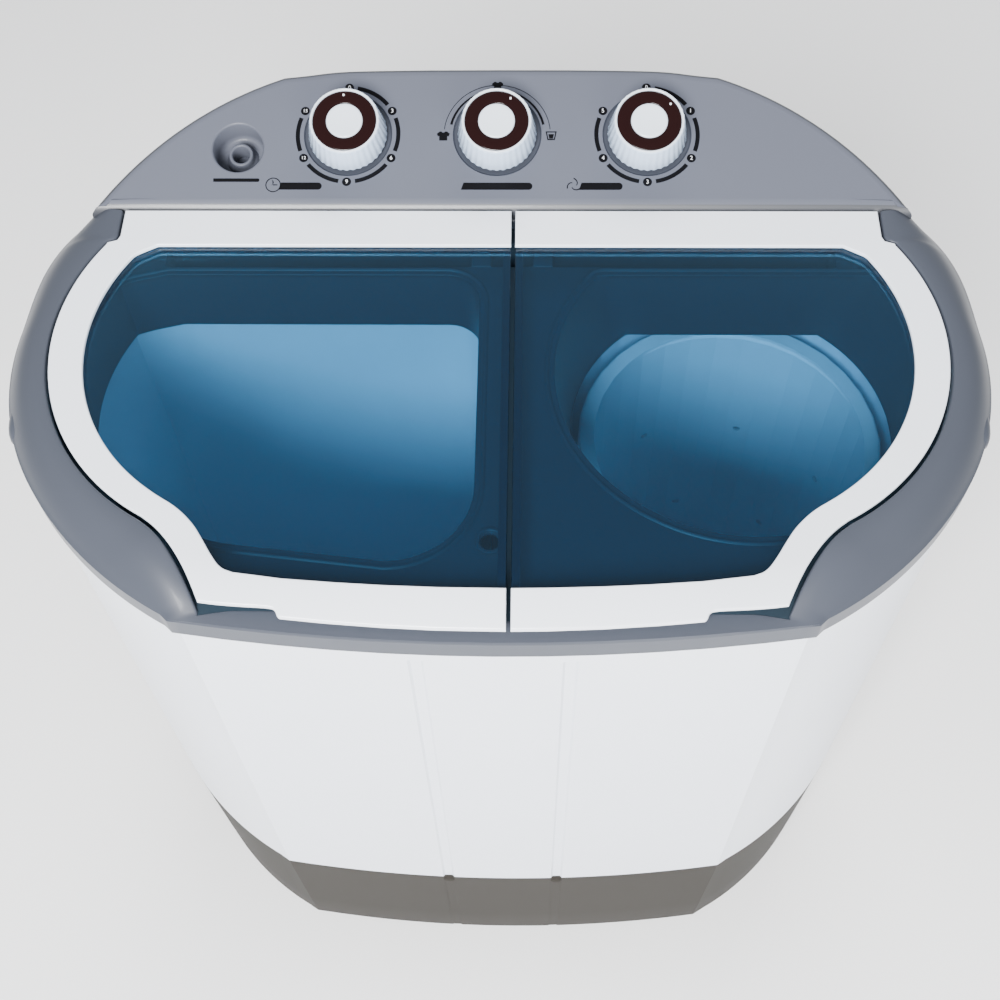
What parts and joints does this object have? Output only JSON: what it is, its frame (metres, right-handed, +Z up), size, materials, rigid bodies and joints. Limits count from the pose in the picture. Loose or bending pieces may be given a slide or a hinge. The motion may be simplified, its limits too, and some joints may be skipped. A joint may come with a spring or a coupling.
{
  "type": "twin tub washer",
  "caption": "Portable twin tub washer: oval white cabinet, grey collar and control panel, wash tub and spin basket under hinged tinted lids.",
  "frame": {"origin": "on the floor, under the middle of the machine", "axes": "+Z up, +X to the user's right (wash tub on -X, spin basket on +X), +Y to the back (control panel)"},
  "size_m": [0.5988, 0.3934, 0.6955],
  "materials": {
    "white_plastic": "semi-gloss white",
    "lid_plastic": "glossy white",
    "collar_plastic": "satin blue-grey",
    "console_plastic": "satin grey",
    "base_plastic": "satin dark warm grey",
    "tinted_window": "clear blue tint",
    "knob_plastic": "glossy white",
    "knob_ring": "glossy dark maroon",
    "tub_plastic": "satin white",
    "pulsator_plastic": "satin light blue",
    "steel": "bright",
    "motor_steel": "satin grey",
    "aluminium": "as cast",
    "rubber": "matt black",
    "hose_plastic": "satin grey",
    "black_plastic": "satin black"
  },
  "bodies": {
    "machine": {"base": "base_plastic", "cabinet": "white_plastic", "console": "console_plastic", "cord_gland": "black_plastic", "cover_screw_1": "steel", "cover_screw_2": "steel", "cover_screw_3": "steel", "cover_screw_4": "steel", "drain_hose": "hose_plastic", "drain_outlet": "white_plastic", "drain_spring": "steel", "drain_valve_body": "white_plastic", "drive_belt": "rubber", "foot_front_left": "rubber", "foot_front_right": "rubber", "foot_rear_left": "rubber", "foot_rear_right": "rubber", "inlet_hose": "hose_plastic", "motor_mount_1": "rubber", "motor_mount_2": "rubber", "motor_mount_3": "rubber", "rear_cover": "white_plastic", "selector_switch": "black_plastic", "spin_casing": "white_plastic", "spin_motor": "motor_steel", "spin_seal": "rubber", "spin_timer_body": "black_plastic", "top_frame": "collar_plastic", "wash_bearing_housing": "aluminium", "wash_motor": "motor_steel", "wash_timer_body": "black_plastic", "wash_tub": "tub_plastic", "water_inlet": "console_plastic"},
    "wash_lid": {"wash_lid_frame": "lid_plastic", "wash_lid_window": "tinted_window"},
    "spin_lid": {"spin_lid_frame": "lid_plastic", "spin_lid_window": "tinted_window"},
    "wash_timer_control": {"wash_timer_knob": "knob_plastic", "wash_timer_knob_ring": "knob_ring", "wash_timer_knob_cap": "knob_plastic", "wash_timer_shaft": "steel"},
    "selector_control": {"selector_knob": "knob_plastic", "selector_knob_ring": "knob_ring", "selector_knob_cap": "knob_plastic", "selector_shaft": "steel"},
    "spin_timer_control": {"spin_timer_knob": "knob_plastic", "spin_timer_knob_ring": "knob_ring", "spin_timer_knob_cap": "knob_plastic", "spin_timer_shaft": "steel"},
    "pulsator_group": {"pulsator": "pulsator_plastic", "pulsator_shaft": "steel", "wash_pulley": "aluminium"},
    "wash_rotor": {"wash_motor_shaft": "steel", "motor_pulley": "aluminium"},
    "basket_group": {"spin_basket": "tub_plastic", "spin_shaft": "steel", "basket_nut": "black_plastic", "brake_drum": "aluminium"},
    "brake": {"brake_lever": "steel"},
    "drain_plug": {"drain_plunger": "rubber"}
  },
  "joints": [
    {"name": "wash_lid_hinge", "type": "hinge", "parent": "machine", "child": "wash_lid", "pos_m": [-0.114, 0.098, 0.648], "axis": [-1, 0, 0], "range_deg": [0, 95]},
    {"name": "spin_lid_hinge", "type": "hinge", "parent": "machine", "child": "spin_lid", "pos_m": [0.121, 0.098, 0.648], "axis": [-1, 0, 0], "range_deg": [0, 95]},
    {"name": "wash_timer_turn", "type": "hinge", "parent": "machine", "child": "wash_timer_control", "pos_m": [-0.099, 0.1538, 0.66881], "axis": [0, 0.3453, -0.9385], "range_deg": [0, 300]},
    {"name": "selector_turn", "type": "hinge", "parent": "machine", "child": "selector_control", "pos_m": [-0.002, 0.1538, 0.66881], "axis": [0, 0.3453, -0.9385], "range_deg": [-90, 90]},
    {"name": "spin_timer_turn", "type": "hinge", "parent": "machine", "child": "spin_timer_control", "pos_m": [0.095, 0.1538, 0.66881], "axis": [0, 0.3453, -0.9385], "range_deg": [0, 300]},
    {"name": "pulsator_spin", "type": "hinge", "parent": "machine", "child": "pulsator_group", "pos_m": [-0.135, -0.038, 0.25], "axis": [0, 0, 1], "continuous": true},
    {"name": "wash_motor_spin", "type": "hinge", "parent": "machine", "child": "wash_rotor", "pos_m": [-0.008, -0.03, 0.196], "axis": [0, 0, 1], "continuous": true},
    {"name": "basket_spin", "type": "hinge", "parent": "machine", "child": "basket_group", "pos_m": [0.15, -0.01, 0.262], "axis": [0, 0, 1], "continuous": true},
    {"name": "brake_lever_turn", "type": "hinge", "parent": "machine", "child": "brake", "pos_m": [0.214, 0.03, 0.19], "axis": [0, 0, -1], "range_deg": [0, 15]},
    {"name": "drain_plunger_lift", "type": "slide", "parent": "machine", "child": "drain_plug", "axis": [0, 0, 1], "range_m": [0, 0.008], "stiffness_N_per_m": 150, "springref_m": -0.003, "deforming": ["drain_spring"]}
  ],
  "couplings": [
    {"joint": "wash_motor_spin", "follows": "pulsator_spin", "ratio": 4.6667},
    {"joint": "brake_lever_turn", "follows": "spin_lid_hinge", "ratio": 0.15}
  ]
}
